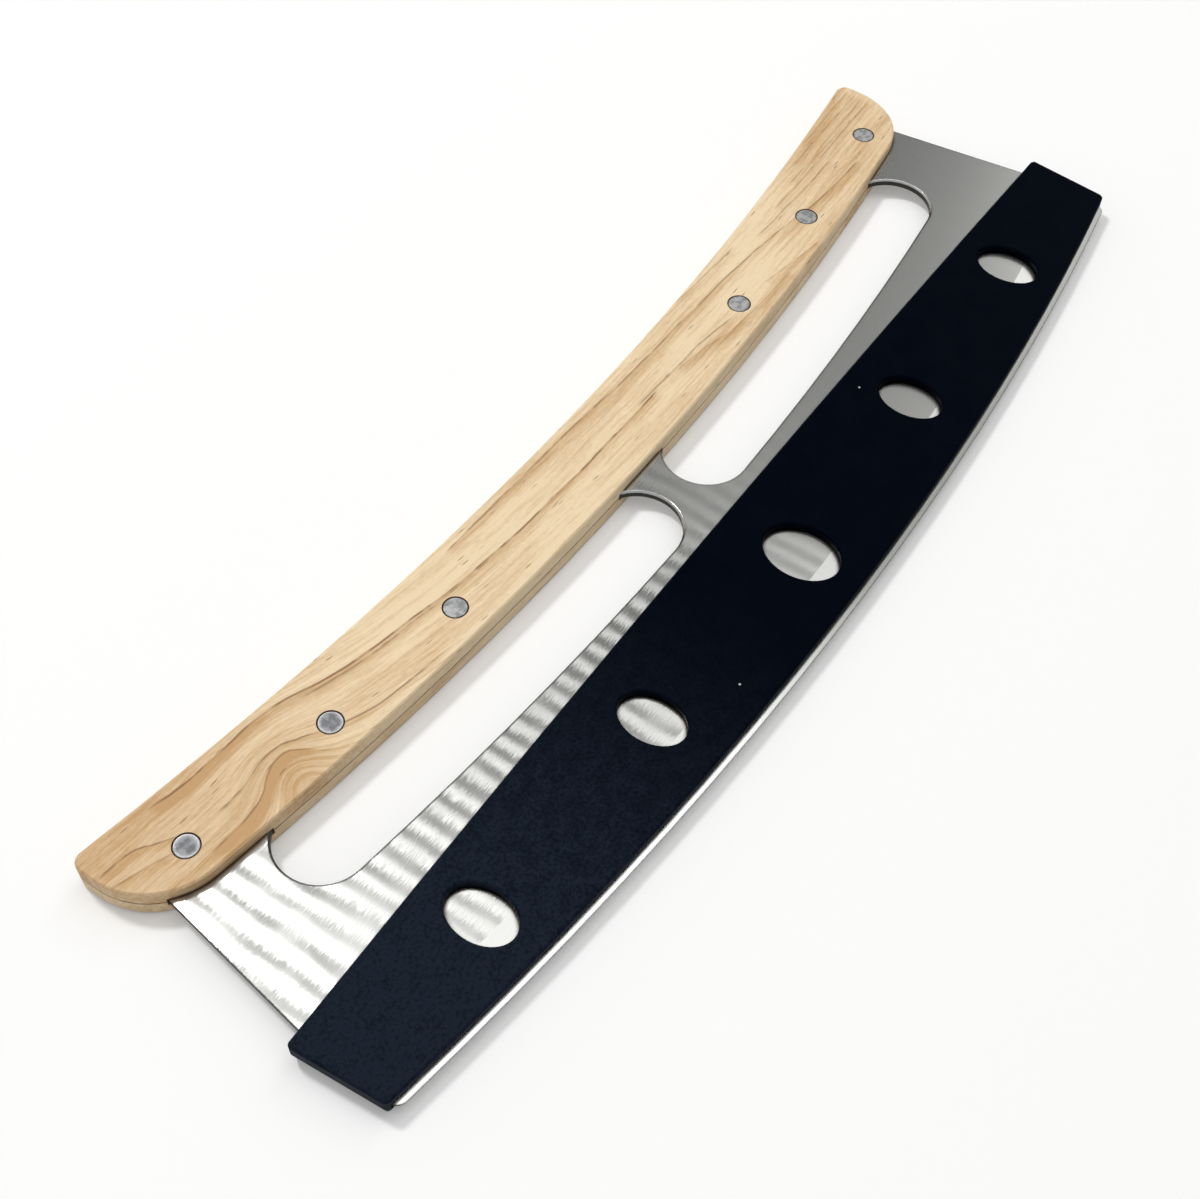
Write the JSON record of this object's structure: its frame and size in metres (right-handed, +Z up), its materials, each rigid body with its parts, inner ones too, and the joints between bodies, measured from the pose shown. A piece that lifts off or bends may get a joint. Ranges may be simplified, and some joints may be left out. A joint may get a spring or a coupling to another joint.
{
  "type": "rocking pizza knife",
  "caption": "Rocking pizza knife with an arched wooden handle riveted to a slotted steel blade with a curved edge, and a pull-off plastic blade guard with oval windows.",
  "frame": {"origin": "middle of the knife's outline on the table it lies on, under the back face of the rear handle scale", "axes": "+X along the knife, +Y from the cutting edge towards the handle, +Z up out of the front face"},
  "size_m": [0.3506, 0.1062, 0.009],
  "materials": {
    "steel": "fine cross brushed",
    "front_wood": "oiled light wood",
    "rear_wood": "oiled light wood",
    "rivet_metal": "peened",
    "guard_plastic": "matte moulded"
  },
  "bodies": {
    "knife": {"blade": "steel", "front_handle_scale": "front_wood", "rear_handle_scale": "rear_wood", "rivet_1": "rivet_metal", "rivet_2": "rivet_metal", "rivet_3": "rivet_metal", "rivet_4": "rivet_metal", "rivet_5": "rivet_metal", "rivet_6": "rivet_metal"},
    "guard": {"blade_guard": "guard_plastic"}
  },
  "joints": [
    {"name": "guard_slide", "type": "slide", "parent": "knife", "child": "guard", "axis": [0, -1, 0], "range_m": [0, 0.06]}
  ]
}
